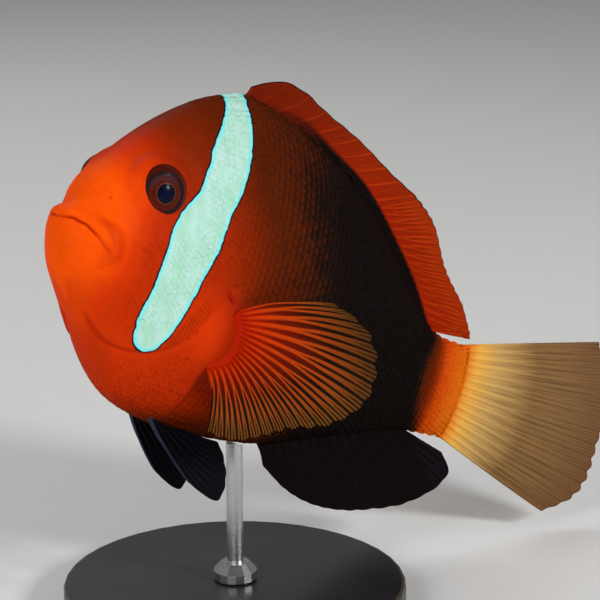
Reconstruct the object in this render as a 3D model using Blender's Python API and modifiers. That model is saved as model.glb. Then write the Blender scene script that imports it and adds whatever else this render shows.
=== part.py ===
"""A fire clownfish (Amphiprion melanopus), modelled life size as a museum shows it: swimming
with its nose up and its tail swung to its left, carried by a rod on a round base.

Metres, +Z up. The fish is laid out straight in a frame of its own: x runs from the snout tip
towards the tail, y to the fish's right, z to its back. Places and sizes there are shares of
the standard length, which is the length without the tail fin. flex() then bends the straight
fish along its swimming line, and the empty "fish_pose" pitches it and sets it over the base.
"""

import math

import bmesh
import bpy
import numpy as np
from mathutils import Matrix, Vector

MM = 0.001

# The driving sizes.
STANDARD_LENGTH = 88 * MM
NOSE_UP = math.radians(28)
TAIL_SWING = math.radians(33)  # how far the tail fin is turned to the fish's left
BEND_FROM, BEND_TO = 0.45, 1.25  # where the bend starts, and where it reaches TAIL_SWING
GAP = 0.3 * MM  # between neighbouring pieces

# How finely the surfaces are cut.
BODY_RINGS, BODY_SIDES = 31, 28
NOSE_RINGS = 6
FIN_ROWS = 4

# The stand.
BASE_RADIUS, BASE_HEIGHT, BASE_EDGE = 25 * MM, 4 * MM, 0.6 * MM
ROD_RADIUS = 1.2 * MM
ROD_AT, ROD_INTO = 0.53, 0.1  # where the rod meets the belly, and how far it aims into it
FOOT_RADIUS, SHOULDER_RADIUS, FOOT_HEIGHT = 3.2 * MM, 2.0 * MM, 2.5 * MM
CLEARANCE = 3 * MM  # from the ground to the lowest fin


def smooth_curve(*knots):
    """A smooth function through (x, value) knots, made of cubic pieces and level outside them."""
    xs, ys = (np.array(values, float) for values in zip(*knots))
    slopes = np.gradient(ys, xs)

    def value(x):
        x = min(max(x, xs[0]), xs[-1])
        i = min(int(np.searchsorted(xs, x, side="right")) - 1, len(xs) - 2)
        step = xs[i + 1] - xs[i]
        t = (x - xs[i]) / step
        rise = (1 - t) ** 2 * (ys[i] * (1 + 2 * t) + slopes[i] * step * t)
        return float(rise + t**2 * (ys[i + 1] * (3 - 2 * t) + slopes[i + 1] * step * (t - 1)))

    return value


def mix(a, b, t):
    return a + (b - a) * t


# The straight body's outlines: back, belly and half the width, as shares of the standard length.
BACK = smooth_curve(
    (0.00, 0.053), (0.04, 0.092), (0.10, 0.168), (0.18, 0.245), (0.28, 0.300),
    (0.40, 0.307), (0.54, 0.289), (0.68, 0.240), (0.80, 0.166), (0.90, 0.098), (1.00, 0.096),
)
BELLY = smooth_curve(
    (0.00, -0.046), (0.04, -0.085), (0.10, -0.137), (0.20, -0.214), (0.32, -0.238),
    (0.46, -0.226), (0.60, -0.201), (0.72, -0.160), (0.82, -0.122), (0.91, -0.090), (1.00, -0.076),
)
HALF_WIDTH = smooth_curve(
    (0.00, 0.045), (0.05, 0.065), (0.12, 0.089), (0.22, 0.105), (0.34, 0.109),
    (0.48, 0.103), (0.62, 0.084), (0.76, 0.056), (0.88, 0.034), (1.00, 0.018),
)
# How sharp the back and the belly are: 1 is an ellipse's end, more is keener.
BACK_KEENNESS = smooth_curve((0.0, 1.0), (0.15, 1.05), (0.35, 1.30), (0.7, 1.30), (1.0, 1.05))
BELLY_KEENNESS = smooth_curve((0.0, 0.95), (0.2, 0.90), (0.45, 1.00), (0.7, 1.25), (1.0, 1.05))
WIDEST_AT = 0.48  # height of the widest line, from the belly to the back
SNOUT_ROUND = 0.05  # how far back the snout is rounded off
ROUNDED_END = 0.012  # the same at the tail's root


def roundness(x):
    """1 along the body, falling to 0 at its two ends as a quarter of an ellipse does."""
    front = min(x / SNOUT_ROUND, 1.0)
    rear = min((1.0 - x) / ROUNDED_END, 1.0)
    return math.sqrt(max(0.0, 1 - (1 - front) ** 2)) * math.sqrt(max(0.0, 1 - (1 - rear) ** 2))


def section(x):
    """The body's section at x: its mid height, its rise, its drop and its half width."""
    back, belly, shrink = BACK(x), BELLY(x), roundness(x)
    middle = mix(belly, back, WIDEST_AT)
    return middle, (back - middle) * shrink, (middle - belly) * shrink, HALF_WIDTH(x) * shrink


def skin_point(x, angle):
    """A point of the straight body, in shares: angle 0 is the back and pi / 2 the right side."""
    middle, rise, drop, width = section(x)
    up, side = math.cos(angle), math.sin(angle)
    keenness = BACK_KEENNESS(x) if up > 0 else BELLY_KEENNESS(x)
    bulge = math.copysign(abs(side) ** mix(1.0, keenness, abs(up)), side)
    return x, width * bulge, middle + (rise if up > 0 else drop) * up


def flank(x, z):
    """Half the body's width at x and height z."""
    middle, rise, drop, width = section(x)
    up = (z - middle) / (rise if z > middle else drop)
    keenness = BACK_KEENNESS(x) if up > 0 else BELLY_KEENNESS(x)
    return width * max(0.0, 1 - up * up) ** (mix(1.0, keenness, abs(up)) / 2)


def swimming_line():
    """The bent midline, as the places and headings of evenly spaced stations."""
    stations = np.linspace(-0.2, 1.5, 341)
    bend = np.clip((stations - BEND_FROM) / (BEND_TO - BEND_FROM), 0, 1.2)
    heading = -TAIL_SWING * bend**1.5
    step = stations[1] - stations[0]
    across = np.cumsum(np.sin(heading)) * step
    along = stations[0] + np.cumsum(np.cos(heading)) * step
    return stations, along, across, heading


LINE = swimming_line()


def flex(x, y, z):
    """Carries a point of the straight fish onto the swimming line, and from shares to metres."""
    stations, along, across, heading = LINE
    turn = np.interp(x, stations, heading)
    at_x = np.interp(x, stations, along) - y * math.sin(turn)
    at_y = np.interp(x, stations, across) + y * math.cos(turn)
    return Vector((at_x, at_y, z)) * STANDARD_LENGTH


# Blender helpers.
def clear_scene():
    for obj in list(bpy.data.objects):
        bpy.data.objects.remove(obj)


def new_collection(name):
    collection = bpy.data.collections.new(name)
    bpy.context.scene.collection.children.link(collection)
    return collection


def material(name, colour, roughness, metallic=0.0):
    made = bpy.data.materials.new(name)
    made.use_nodes = True
    surface = made.node_tree.nodes["Principled BSDF"]
    surface.inputs["Base Color"].default_value = (*colour, 1.0)
    surface.inputs["Roughness"].default_value = roughness
    surface.inputs["Metallic"].default_value = metallic
    made.diffuse_color = (*colour, 1.0)
    return made


def add_object(name, mesh, collection, parent):
    obj = bpy.data.objects.new(name, mesh)
    obj.parent = parent
    collection.objects.link(obj)
    return obj


def finish(obj, finish_material):
    """Gives a part its material and smooth shading with sharp cut edges."""
    obj.data.materials.clear()
    obj.data.materials.append(finish_material)
    obj.data.shade_smooth()
    obj.data.set_sharp_from_angle(angle=math.radians(40))
    return obj


def as_cutter(obj):
    obj.hide_render = True
    obj.display_type = "WIRE"
    return obj


def boolean(obj, operation, cutter):
    modifier = obj.modifiers.new(f"{operation.lower()}_{cutter.name}"[:60], "BOOLEAN")
    modifier.operation = operation
    modifier.object = cutter
    modifier.solver = "EXACT"


# The body.
def body_stations():
    """Closely spaced round the snout, then even to the tail's root."""
    nose = [SNOUT_ROUND * (1 - math.cos(math.pi / 2 * i / NOSE_RINGS)) for i in range(1, NOSE_RINGS)]
    trunk = list(np.linspace(SNOUT_ROUND, 1.0 - ROUNDED_END, BODY_RINGS - NOSE_RINGS - 1))
    return nose + trunk + [1.0 - 0.3 * ROUNDED_END]


def body_mesh(name, grow=0.0):
    """The whole body as one closed loft, its skin moved out by grow."""
    mesh = bpy.data.meshes.new(name)
    shape = bmesh.new()
    angles = [2 * math.pi * i / BODY_SIDES for i in range(BODY_SIDES)]
    rings = [
        [shape.verts.new(flex(*skin_point(x, angle))) for angle in angles]
        for x in body_stations()
    ]
    ends = [shape.verts.new(flex(x, 0, section(x)[0])) for x in (0.0, 1.0)]
    for near, far in zip(rings, rings[1:]):
        for i in range(BODY_SIDES):
            j = (i + 1) % BODY_SIDES
            shape.faces.new((near[i], near[j], far[j], far[i]))
    for tip, ring in zip(ends, (rings[0], rings[-1])):
        for i in range(BODY_SIDES):
            shape.faces.new((tip, ring[i], ring[(i + 1) % BODY_SIDES]))
    bmesh.ops.recalc_face_normals(shape, faces=shape.faces)
    shape.normal_update()
    for vertex in shape.verts:
        vertex.co += vertex.normal * grow
    shape.to_mesh(mesh)
    shape.free()
    return mesh


# Fins: a sheet through the rays, thickened into a web with raised rays.
RAY_THICK, WEB_THICK, ROOT_THICK = 0.9 * MM, 0.55 * MM, 1.3 * MM
ROOT_SINK = 0.02  # how far the rays' feet lie under the skin, before the body is cut away


def fin_mesh(name, rays, notch, root):
    """An open sheet over the rays and the webs between them, with the thickness of each of its
    points. notch is how far a web falls short of its rays' tips, as a share of the last step;
    root is the thickness at the rays' feet."""
    columns, is_ray = [], []
    for i, ray in enumerate(rays):
        columns.append(ray)
        is_ray.append(True)
        if i + 1 < len(rays):
            web = [(a + b) / 2 for a, b in zip(ray, rays[i + 1])]
            web[-1] = web[-2].lerp(web[-1], 1 - notch)
            columns.append(web)
            is_ray.append(False)
    mesh = bpy.data.meshes.new(name)
    shape = bmesh.new()
    grid = [[shape.verts.new(point) for point in column] for column in columns]
    for left, right in zip(grid, grid[1:]):
        for i in range(len(left) - 1):
            shape.faces.new((left[i], left[i + 1], right[i + 1], right[i]))
    shape.to_mesh(mesh)
    shape.free()
    thickness = []
    for ray in is_ray:
        out = RAY_THICK if ray else WEB_THICK
        thickness += [root, mix(root, out, 0.7)] + [out] * (len(columns[0]) - 2)
    return mesh, thickness


def add_fin(name, rays, collection, parent, finish_material, notch=0.3, root=ROOT_THICK):
    mesh, thickness = fin_mesh(name, rays, notch, root)
    fin = add_object(name, mesh, collection, parent)
    group = fin.vertex_groups.new(name="thickness")
    for index, depth in enumerate(thickness):
        group.add([index], depth / ROOT_THICK, "REPLACE")
    solid = fin.modifiers.new("thickness", "SOLIDIFY")
    solid.thickness = ROOT_THICK
    solid.offset = 0.0
    solid.vertex_group = group.name
    return finish(fin, finish_material)


def midline_rays(count, root, tip):
    """Rays of a fin on the midline. root(t) and tip(t) give the (x, z) where ray t starts and
    ends, t running from 0 to 1 along the fin."""
    rays = []
    for k in range(count):
        start, end = root(k / (count - 1)), tip(k / (count - 1))
        ray = []
        for row in range(FIN_ROWS + 1):
            s = row / FIN_ROWS
            ray.append(flex(mix(start[0], end[0], s), 0, mix(start[1], end[1], s)))
        rays.append(ray)
    return rays


# The fins' free edges, as heights over x.
DORSAL_EDGE = smooth_curve(
    (0.325, 0.333), (0.38, 0.357), (0.42, 0.360), (0.50, 0.345), (0.60, 0.335), (0.70, 0.314),
    (0.78, 0.294), (0.83, 0.266), (0.88, 0.214), (0.94, 0.168), (1.00, 0.118),
)
ANAL_EDGE = smooth_curve(
    (0.61, -0.232), (0.67, -0.254), (0.76, -0.264), (0.84, -0.246), (0.93, -0.206),
    (1.00, -0.165), (1.02, -0.122),
)


def dorsal_spines():
    """Ten low, stout spines from the nape back, leaning well over."""
    lean = smooth_curve((0.0, 0.030), (0.3, 0.070), (1.0, 0.125))

    def root(t):
        x = mix(0.295, 0.640, t)
        return x, BACK(x) - ROOT_SINK

    def tip(t):
        x = mix(0.295, 0.640, t) + lean(t)
        return x, DORSAL_EDGE(x)

    return midline_rays(10, root, tip)


def dorsal_rays():
    """Seventeen soft rays, which end in a lobe over the tail stalk."""

    def root(t):
        x = mix(0.656, 0.880, t)
        return x, BACK(x) - ROOT_SINK

    def tip(t):
        x = mix(0.785, 1.000, t)
        return x, DORSAL_EDGE(x)

    return midline_rays(17, root, tip)


def anal_rays():
    """Two spines and fourteen soft rays under the rear body."""

    def root(t):
        x = mix(0.575, 0.880, t)
        return x, BELLY(x) + ROOT_SINK

    def tip(t):
        x = mix(0.610, 1.020, t)
        return x, ANAL_EDGE(x)

    return midline_rays(16, root, tip)


def tail_rays():
    """The tail fin: rays that spread from the tail's root into a blunt fan."""
    length = smooth_curve((0.0, 0.300), (0.15, 0.330), (0.5, 0.335), (0.85, 0.325), (1.0, 0.280))
    rise = smooth_curve((0.0, 20), (0.5, 2), (1.0, -14))

    def root(t):
        return 0.972, mix(BACK(1.0) - 0.010, BELLY(1.0) + 0.010, t)

    def tip(t):
        angle = math.radians(rise(t))
        x, z = root(t)
        return x + length(t) * math.cos(angle), z + length(t) * math.sin(angle)

    return midline_rays(15, root, tip)


PECTORAL_AT = (0.322, -0.066)  # the fan's middle, (x, z)
PECTORAL_PAD = 0.043  # the fleshy pad from which the rays spread
# The left fin is opened wider than the right: how far each is held out from the flank, and the
# directions of its first and last ray in degrees above the horizontal.
PECTORAL_FLARE = {-1: math.radians(42), 1: math.radians(26)}
PECTORAL_SPREAD = {-1: (32, -95), 1: (32, -70)}
PECTORAL_RAYS = 18


def pectoral_rays(side):
    """A wide fan held out from the flank. side is -1 for the left fin and 1 for the right.
    Its rays leave a round pad and reach an oval edge."""
    reach = smooth_curve(
        (0.0, 0.182), (0.15, 0.217), (0.35, 0.230), (0.6, 0.205), (0.85, 0.182), (1.0, 0.160)
    )
    root_x, root_z = PECTORAL_AT
    flare = PECTORAL_FLARE[side]

    def spread(distance, angle, out):
        back, up = distance * math.cos(angle), distance * math.sin(angle)
        opened = flare if back > 0 else 0.0
        x = root_x + back * math.cos(opened)
        y = flank(root_x, root_z) + back * math.sin(opened) - 0.2 * up + out
        return Vector((x, side * y, root_z + up)) * STANDARD_LENGTH

    rays = []
    for k in range(PECTORAL_RAYS):
        t = k / (PECTORAL_RAYS - 1)
        leave, arrive = math.radians(mix(76, -122, t)), math.radians(mix(*PECTORAL_SPREAD[side], t))
        start, end = spread(PECTORAL_PAD, leave, 0.010), spread(reach(t), arrive, 0.004)
        rays.append([spread(PECTORAL_PAD * 0.96, leave, -0.020)])
        rays[-1] += [start.lerp(end, row / (FIN_ROWS - 1)) for row in range(FIN_ROWS)]
    return rays


PELVIC_SPLAY = {-1: math.radians(11), 1: math.radians(4)}


def pelvic_rays(side):
    """A spine and five soft rays under the breast, trailing backwards."""
    length = smooth_curve((0.0, 0.140), (0.2, 0.200), (0.4, 0.192), (0.7, 0.155), (1.0, 0.115))
    splay = PELVIC_SPLAY[side]
    rays = []
    for k in range(6):
        t = k / 5
        x, y = mix(0.284, 0.332, t), side * mix(0.028, 0.020, t)
        foot = Vector((x, y, BELLY(x) + ROOT_SINK))
        points = []
        for row in range(FIN_ROWS + 1):
            s = row / FIN_ROWS
            down = math.radians(mix(43, 10, t) - 8 * s)
            way = Vector((math.cos(down), side * math.sin(splay), -math.sin(down)))
            points.append((foot + way * length(t) * s) * STANDARD_LENGTH)
        rays.append(points)
    return rays


# Outlines that part the body, as (x, z) shares joined by a smooth closed curve.
def outline_block(name, outline, low, high, grow, collection, parent, smooth=True):
    """A block whose (x, z) outline runs across the fish from y = low to y = high. grow moves
    the whole outline out, which leaves the gap round the piece that the block cuts."""
    curve = bpy.data.curves.new(name, "CURVE")
    curve.dimensions = "2D"
    curve.fill_mode = "BOTH"
    curve.extrude = (high - low) / 2 * STANDARD_LENGTH
    curve.offset = grow
    curve.resolution_u = 3
    spline = curve.splines.new("BEZIER" if smooth else "POLY")
    points = spline.bezier_points if smooth else spline.points
    points.add(len(outline) - 1)
    for point, (x, z) in zip(points, outline):
        if smooth:
            point.co = Vector((x, z, 0)) * STANDARD_LENGTH
            point.handle_left_type = point.handle_right_type = "AUTO"
        else:
            point.co = (x * STANDARD_LENGTH, z * STANDARD_LENGTH, 0, 1)
    spline.use_cyclic_u = True
    drawn = bpy.data.objects.new(name + "_outline", curve)
    collection.objects.link(drawn)
    graph = bpy.context.evaluated_depsgraph_get()
    mesh = bpy.data.meshes.new_from_object(drawn.evaluated_get(graph))
    bpy.data.objects.remove(drawn)
    shape = bmesh.new()
    shape.from_mesh(mesh)
    bmesh.ops.remove_doubles(shape, verts=shape.verts, dist=1e-6)
    bmesh.ops.recalc_face_normals(shape, faces=shape.faces)
    shape.to_mesh(mesh)
    shape.free()
    block = add_object(name, mesh, collection, parent)
    block.rotation_euler = (math.pi / 2, 0, 0)
    block.location = (0, (low + high) / 2 * STANDARD_LENGTH, 0)
    return as_cutter(block)


HEAD = (
    (-0.10, 0.10), (-0.10, -0.30), (0.10, -0.30), (0.200, -0.205), (0.262, -0.140),
    (0.298, -0.070), (0.335, -0.010), (0.320, 0.050), (0.290, 0.130), (0.285, 0.250),
    (0.262, 0.40), (0.0, 0.42),
)
TAIL_STALK = ((0.860, -0.30), (1.30, -0.30), (1.30, 0.40), (0.860, 0.40))
GILL_COVER = (
    (0.148, -0.060), (0.180, 0.020), (0.240, 0.072), (0.292, 0.045), (0.316, 0.000),
    (0.280, -0.040), (0.266, -0.082), (0.232, -0.118), (0.182, -0.143), (0.144, -0.125),
)
GILL_DEPTH = 0.062  # from the midline to the inner side of the gill covers
UPPER_JAW = (
    (-0.06, 0.030), (-0.06, 0.001), (0.006, 0.001), (0.022, -0.004), (0.037, -0.016),
    (0.053, -0.034), (0.072, -0.046), (0.082, -0.032), (0.072, -0.002), (0.050, 0.012),
    (0.026, 0.019), (0.008, 0.025),
)
LOWER_JAW = (
    (-0.06, 0.012), (0.006, 0.010), (0.028, 0.004), (0.048, -0.016), (0.062, -0.050),
    (0.062, -0.078), (0.046, -0.100), (0.015, -0.104), (-0.06, -0.104),
)

EYE_AT = (0.125, 0.088)  # (x, z) of the pupil
EYE_RADIUS, EYE_DEPTH = 0.039, 0.030
EYE_SINK = 0.018  # how far the eyeball's middle lies under the skin
EYE_LOOK_FORWARD, EYE_LOOK_UP = 0.24, 0.28


def eye_mesh(name, grow):
    mesh = bpy.data.meshes.new(name)
    shape = bmesh.new()
    bmesh.ops.create_uvsphere(shape, u_segments=16, v_segments=8, radius=1.0)
    radius = EYE_RADIUS * STANDARD_LENGTH + grow
    depth = EYE_DEPTH * STANDARD_LENGTH + grow
    bmesh.ops.scale(shape, vec=(radius, radius, depth), verts=shape.verts)
    shape.to_mesh(mesh)
    shape.free()
    return mesh


def place_eye(obj, side):
    """Turns the eye out and a little forwards and up."""
    x, z = EYE_AT
    obj.location = Vector((x, side * (flank(x, z) - EYE_SINK), z)) * STANDARD_LENGTH
    obj.rotation_euler = Vector((-EYE_LOOK_FORWARD, side, EYE_LOOK_UP)).to_track_quat("Z", "Y").to_euler()
    return obj


def stand_base(parts, root, paint):
    """A round plate with eased edges."""
    mesh = bpy.data.meshes.new("stand_base")
    shape = bmesh.new()
    bmesh.ops.create_cone(
        shape, cap_ends=True, segments=40, radius1=BASE_RADIUS, radius2=BASE_RADIUS, depth=BASE_HEIGHT
    )
    shape.to_mesh(mesh)
    shape.free()
    base = add_object("stand_base", mesh, parts, root)
    base.location.z = BASE_HEIGHT / 2
    edges = base.modifiers.new("eased_edges", "BEVEL")
    edges.width = BASE_EDGE
    edges.segments = 2
    return finish(base, paint)


def stand_rod(parts, root, length, hole, steel):
    """A turned rod with a foot. The body's grown copy cuts its top to the belly's curve."""
    profile = (
        (0, length),
        (ROD_RADIUS, length),
        (ROD_RADIUS, FOOT_HEIGHT),
        (SHOULDER_RADIUS, FOOT_HEIGHT),
        (FOOT_RADIUS, FOOT_HEIGHT / 2),
        (FOOT_RADIUS, 0),
        (0, 0),
    )
    mesh = bpy.data.meshes.new("stand_rod")
    joined = [(i, i + 1) for i in range(len(profile) - 1)]
    mesh.from_pydata([(radius, 0, height) for radius, height in profile], joined, [])
    rod = add_object("stand_rod", mesh, parts, root)
    rod.location.z = BASE_HEIGHT + GAP
    turn = rod.modifiers.new("turn", "SCREW")
    turn.steps = turn.render_steps = 16
    turn.use_merge_vertices = True
    turn.merge_threshold = 0.00001
    boolean(rod, "DIFFERENCE", hole)
    return finish(rod, steel)


def extents(parts):
    """The lowest and highest corner of all the finished parts."""
    bpy.context.view_layer.update()
    graph = bpy.context.evaluated_depsgraph_get()
    points = []
    for obj in parts.objects:
        if obj.type == "MESH":
            solid = obj.evaluated_get(graph)
            points += [solid.matrix_world @ vertex.co for vertex in solid.to_mesh().vertices]
            solid.to_mesh_clear()
    return np.min(points, axis=0), np.max(points, axis=0)


def pitched(point):
    return Matrix.Rotation(NOSE_UP, 3, "Y") @ point


def build():
    clear_scene()
    parts, cutters = new_collection("clownfish"), new_collection("cutters")
    root = bpy.data.objects.new("display", None)
    pose = bpy.data.objects.new("fish_pose", None)
    for empty in (root, pose):
        parts.objects.link(empty)
    pose.parent = root
    lowest = min(pitched(point).z for ray in tail_rays() + anal_rays() for point in ray)
    foot = pitched(flex(ROD_AT, 0, BELLY(ROD_AT)))
    pose.rotation_euler = (0, NOSE_UP, 0)
    pose.location = (-foot.x, -foot.y, CLEARANCE - lowest)

    orange = material("head_skin", (0.85, 0.16, 0.02), 0.42)
    cheek = material("gill_cover_skin", (0.62, 0.07, 0.015), 0.42)
    dark = material("trunk_skin", (0.020, 0.012, 0.012), 0.40)
    stalk = material("tail_stalk_skin", (0.70, 0.20, 0.02), 0.42)
    red_fin = material("red_fin", (0.55, 0.06, 0.012), 0.45)
    black_fin = material("black_fin", (0.008, 0.008, 0.014), 0.40)
    pale_fin = material("pale_fin", (0.70, 0.52, 0.20), 0.45)
    eye_brown = material("eye", (0.05, 0.02, 0.02), 0.08)
    base_paint = material("stand_paint", (0.02, 0.02, 0.022), 0.35)
    steel = material("stand_steel", (0.55, 0.55, 0.56), 0.30, metallic=1.0)

    def block(name, outline, low=-0.3, high=0.3, grow=0.0, smooth=True):
        return outline_block(name, outline, low, high, grow, cutters, pose, smooth)

    def eye(name, side, grow=0.0):
        return place_eye(add_object(name, eye_mesh(name, grow), cutters, pose), side)

    def of_body(name, inside, outside, finish_material):
        """A piece of the body: what lies inside some blocks and outside others."""
        piece = add_object(name, body_mesh(name), parts, pose)
        for cutter in inside:
            boolean(piece, "INTERSECT", cutter)
        for cutter in outside:
            boolean(piece, "DIFFERENCE", cutter)
        return finish(piece, finish_material)

    head_block = block("head_block", HEAD)
    head_hole = block("head_hole", HEAD, grow=GAP)
    stalk_block = block("stalk_block", TAIL_STALK, smooth=False)
    stalk_hole = block("stalk_hole", TAIL_STALK, grow=GAP, smooth=False)
    upper_block = block("upper_jaw_block", UPPER_JAW)
    upper_hole = block("upper_jaw_hole", UPPER_JAW, grow=GAP)
    lower_block = block("lower_jaw_block", LOWER_JAW)
    lower_hole = block("lower_jaw_hole", LOWER_JAW, grow=GAP)
    gills = {-1: ("left", -0.3, -GILL_DEPTH), 1: ("right", GILL_DEPTH, 0.3)}
    gill_blocks, gill_holes, sockets = {}, {}, {}
    for side, (word, low, high) in gills.items():
        gill_blocks[side] = block(f"gill_block_{word}", GILL_COVER, low, high)
        slack = GAP / STANDARD_LENGTH
        gill_holes[side] = block(f"gill_hole_{word}", GILL_COVER, low - slack, high + slack, GAP)
        sockets[side] = as_cutter(eye(f"socket_{word}", side, GAP))

    head_holes = [*gill_holes.values(), *sockets.values(), upper_hole, lower_hole]
    of_body("head", [head_block], head_holes, orange)
    of_body("upper_jaw", [upper_block], [], orange)
    of_body("lower_jaw", [lower_block], [upper_hole], orange)
    of_body("trunk", [], [head_hole, stalk_hole], dark)
    of_body("tail_stalk", [stalk_block], [], stalk)
    for side, (word, _, _) in gills.items():
        of_body(f"gill_cover_{word}", [gill_blocks[side]], [], cheek)
        ball = eye(f"eye_{word}", side)
        cutters.objects.unlink(ball)
        parts.objects.link(ball)
        finish(ball, eye_brown)

    grown = as_cutter(add_object("grown_body", body_mesh("grown_body", GAP), cutters, pose))
    fins = [
        add_fin("dorsal_fin_spines", dorsal_spines(), parts, pose, red_fin, notch=0.5),
        add_fin("dorsal_fin_rays", dorsal_rays(), parts, pose, red_fin),
        add_fin("anal_fin", anal_rays(), parts, pose, black_fin),
        add_fin("tail_fin", tail_rays(), parts, pose, pale_fin),
    ]
    for side, (word, _, _) in gills.items():
        fins.append(
            add_fin(f"pectoral_fin_{word}", pectoral_rays(side), parts, pose, red_fin, root=RAY_THICK)
        )
        fins.append(add_fin(f"pelvic_fin_{word}", pelvic_rays(side), parts, pose, black_fin))
    for fin in fins:
        boolean(fin, "DIFFERENCE", grown)

    rod_top = pose.location.z + pitched(flex(ROD_AT, 0, BELLY(ROD_AT) + ROD_INTO)).z
    stand_base(parts, root, base_paint)
    stand_rod(parts, root, rod_top - BASE_HEIGHT, grown, steel)
    low, high = extents(parts)
    root.location = (-(low[0] + high[0]) / 2, -(low[1] + high[1]) / 2, 0)


build()
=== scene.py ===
"""A fire clownfish (Amphiprion melanopus) as a life-size museum model: one skin with its folds,
a coat of scales laid over it, fins with branching rays, and layered eyes, on a plain stand.

The fish is laid out straight first: x runs from the snout tip towards the tail, y to the fish's
right and z to its back, in shares of the standard length. to_world() bends that straight fish
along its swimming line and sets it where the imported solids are.
"""

import math

import bpy
import numpy as np
from mathutils import Matrix, Vector


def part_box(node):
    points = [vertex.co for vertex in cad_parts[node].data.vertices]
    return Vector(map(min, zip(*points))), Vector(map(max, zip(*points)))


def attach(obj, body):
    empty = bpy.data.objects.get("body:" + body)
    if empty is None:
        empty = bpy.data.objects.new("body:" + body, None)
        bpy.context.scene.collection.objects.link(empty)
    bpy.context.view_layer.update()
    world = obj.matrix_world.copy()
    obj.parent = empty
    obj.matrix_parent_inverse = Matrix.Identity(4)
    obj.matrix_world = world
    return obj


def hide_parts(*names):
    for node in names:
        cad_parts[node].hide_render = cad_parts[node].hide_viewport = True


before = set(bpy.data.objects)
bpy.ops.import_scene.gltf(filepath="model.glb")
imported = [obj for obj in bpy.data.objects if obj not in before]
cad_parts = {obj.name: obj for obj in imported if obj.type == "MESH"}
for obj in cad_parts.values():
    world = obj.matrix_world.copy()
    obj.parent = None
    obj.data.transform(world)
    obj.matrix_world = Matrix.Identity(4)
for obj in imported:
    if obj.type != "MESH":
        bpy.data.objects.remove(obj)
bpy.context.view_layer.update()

MM = 0.001
STANDARD_LENGTH = 88 * MM
IN_MM = STANDARD_LENGTH / MM  # millimetres in a share of 1
NOSE_UP = math.radians(28)
TAIL_SWING = math.radians(33)
BEND_FROM, BEND_TO = 0.45, 1.25
COAT = 0.22 * MM  # the skin lies this far under the solids' surface, and the scales fill it
FAR = 99.0  # millimetres, for what lies out of a line's reach

LEFT, RIGHT = -1, 1
SIDES = {LEFT: "left", RIGHT: "right"}


# ---- curves ----
def smooth_curve(*knots, parts=1):
    """A smooth function through (x, value) knots, made of cubic pieces and level outside them."""
    xs, ys = (np.array(values, float) / parts for values in zip(*knots))
    slopes = np.gradient(ys, xs)

    def value(x):
        x = np.clip(x, xs[0], xs[-1])
        i = np.clip(np.searchsorted(xs, x, side="right") - 1, 0, len(xs) - 2)
        step = xs[i + 1] - xs[i]
        t = (x - xs[i]) / step
        rise = (1 - t) ** 2 * (ys[i] * (1 + 2 * t) + slopes[i] * step * t)
        return rise + t**2 * (ys[i + 1] * (3 - 2 * t) + slopes[i + 1] * step * (t - 1))

    return value


def curve(*knots):
    """The same, through knots given in thousandths."""
    return smooth_curve(*knots, parts=1000)


def mix(a, b, t):
    return a + (b - a) * t


def ease(x, start, end):
    """0 before start, 1 after end, and a smooth rise between them."""
    t = np.clip((x - start) / (end - start), 0, 1)
    return t * t * (3 - 2 * t)


def hump(distance, width):
    return np.exp(-((distance / width) ** 2))


def swell(along):
    """0 at both ends of a line and 1 in its middle."""
    return np.sin(np.pi * along)


def running_sum(steps):
    return np.concatenate([[0], np.cumsum(steps)])


def xyz(x, y, z):
    """Points from their three coordinates."""
    return np.stack(np.broadcast_arrays(x, y, z), -1)


# ---- the straight body, as in the solids ----
BACK = curve(
    (0, 53), (40, 92), (100, 168), (180, 245), (280, 300), (400, 307), (540, 289), (680, 240),
    (800, 166), (900, 98), (1000, 96),
)
BELLY = curve(
    (0, -46), (40, -85), (100, -137), (200, -214), (320, -238), (460, -226), (600, -201),
    (720, -160), (820, -122), (910, -90), (1000, -76),
)
HALF_WIDTH = curve(
    (0, 45), (50, 65), (120, 89), (220, 105), (340, 109), (480, 103), (620, 84), (760, 56),
    (880, 34), (1000, 18),
)
BACK_KEENNESS = smooth_curve((0, 1), (0.15, 1.05), (0.35, 1.30), (0.7, 1.30), (1, 1.05))
BELLY_KEENNESS = smooth_curve((0, 0.95), (0.2, 0.90), (0.45, 1), (0.7, 1.25), (1, 1.05))
WIDEST_AT, SNOUT_ROUND, ROUNDED_END = 0.48, 0.05, 0.012


def roundness(x):
    front = np.clip(x / SNOUT_ROUND, 0, 1)
    rear = np.clip((1.0 - x) / ROUNDED_END, 0, 1)
    return np.sqrt(1 - (1 - front) ** 2) * np.sqrt(1 - (1 - rear) ** 2)


def section(x):
    """The body's middle at x, how far it rises and drops from there, and its half width."""
    back, belly, shrink = BACK(x), BELLY(x), roundness(x)
    middle = mix(belly, back, WIDEST_AT)
    return middle, (back - middle) * shrink, (middle - belly) * shrink, HALF_WIDTH(x) * shrink


def keenness(x, up):
    """How much the outline is pinched towards the back or the belly."""
    return mix(1.0, np.where(up > 0, BACK_KEENNESS(x), BELLY_KEENNESS(x)), np.abs(up))


def body_point(x, angle):
    """A point of the straight body: angle 0 is the back and pi / 2 the fish's right side."""
    middle, rise, drop, width = section(x)
    up, side = np.cos(angle), np.sin(angle)
    y = width * np.sign(side) * np.abs(side) ** keenness(x, up)
    return xyz(x, y, middle + np.where(up > 0, rise, drop) * up)


def flank(x, z):
    """Half the body's width at x and height z."""
    middle, rise, drop, width = section(x)
    up = np.clip((z - middle) / np.where(z > middle, rise, drop), -1, 1)
    return width * (1 - up * up) ** (keenness(x, up) / 2)


def outline(x, count):
    """Angles from the back to the belly at x, and how far round the flank each one lies."""
    angle = np.linspace(0, math.pi, count)
    steps = np.diff(body_point(x, angle), axis=0)
    return angle, running_sum(np.linalg.norm(steps, axis=1))


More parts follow.
